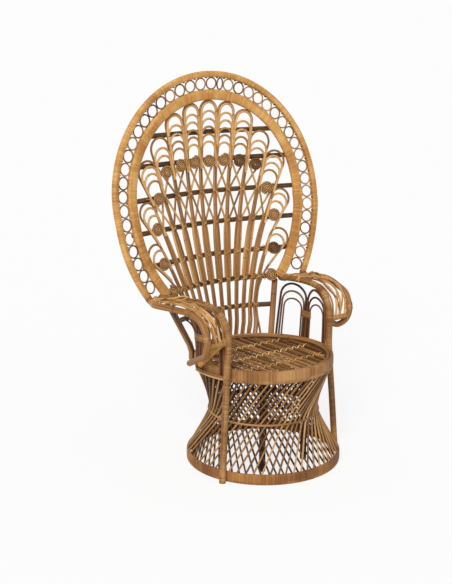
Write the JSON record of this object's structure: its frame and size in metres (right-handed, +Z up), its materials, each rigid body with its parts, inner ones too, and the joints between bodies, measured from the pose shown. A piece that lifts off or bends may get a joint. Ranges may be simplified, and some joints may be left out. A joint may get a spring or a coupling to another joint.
{
  "type": "peacock chair",
  "caption": "Rattan armchair with a tall dished oval fan back, coiled cane eyes, scrolled arms and a slatted round seat on a waisted lattice drum.",
  "frame": {"origin": "on the floor, midway along and across the chair's bounding box", "axes": "+Z up, -Y the way a sitter faces, +X to the right of someone who looks at the chair from in front"},
  "size_m": [0.961, 0.6648, 1.44],
  "materials": {
    "pole_rattan": "satin varnish",
    "cane_rattan": "satin varnish",
    "brown_rattan": "satin varnish",
    "dark_rattan": "satin varnish"
  },
  "bodies": {
    "root": {"base_ring": "pole_rattan", "seat_apron_ring": "pole_rattan", "outer_rim": "pole_rattan", "inner_rim": "pole_rattan", "feather_middle": "pole_rattan", "feather_left_1": "pole_rattan", "feather_right_1": "pole_rattan", "feather_left_2": "pole_rattan", "feather_right_2": "pole_rattan", "feather_left_3": "pole_rattan", "feather_right_3": "pole_rattan", "feather_left_4": "pole_rattan", "feather_right_4": "pole_rattan", "feather_left_5": "pole_rattan", "feather_right_5": "pole_rattan", "feather_left_6": "pole_rattan", "feather_right_6": "pole_rattan", "leg_and_arm_left": "pole_rattan", "leg_and_arm_right": "pole_rattan", "outer_arm_pole_left": "pole_rattan", "outer_arm_pole_right": "pole_rattan", "outer_stakes": "cane_rattan", "seat_hoop": "cane_rattan", "ring_row": "cane_rattan", "coil_middle": "cane_rattan", "coil_left_1": "cane_rattan", "coil_right_1": "cane_rattan", "coil_left_2": "cane_rattan", "coil_right_2": "cane_rattan", "coil_left_3": "cane_rattan", "coil_right_3": "cane_rattan", "coil_left_4": "cane_rattan", "coil_right_4": "cane_rattan", "coil_left_5": "cane_rattan", "coil_right_5": "cane_rattan", "coil_left_6": "cane_rattan", "coil_right_6": "cane_rattan", "coil_left_7": "cane_rattan", "coil_right_7": "cane_rattan", "back_post_left": "cane_rattan", "back_post_right": "cane_rattan", "arm_canes_left": "cane_rattan", "arm_canes_right": "cane_rattan", "inner_stakes": "brown_rattan", "seat_slats": "brown_rattan", "arm_panel_left": "brown_rattan", "arm_panel_right": "brown_rattan", "inner_post_front_left": "dark_rattan", "inner_post_front_right": "dark_rattan", "inner_post_back_left": "dark_rattan", "inner_post_back_right": "dark_rattan", "rail_1": "dark_rattan", "rail_2": "dark_rattan", "rail_3": "dark_rattan", "rail_4": "dark_rattan", "rail_5": "dark_rattan", "rail_6": "dark_rattan", "rail_7": "dark_rattan"}
  },
  "joints": []
}
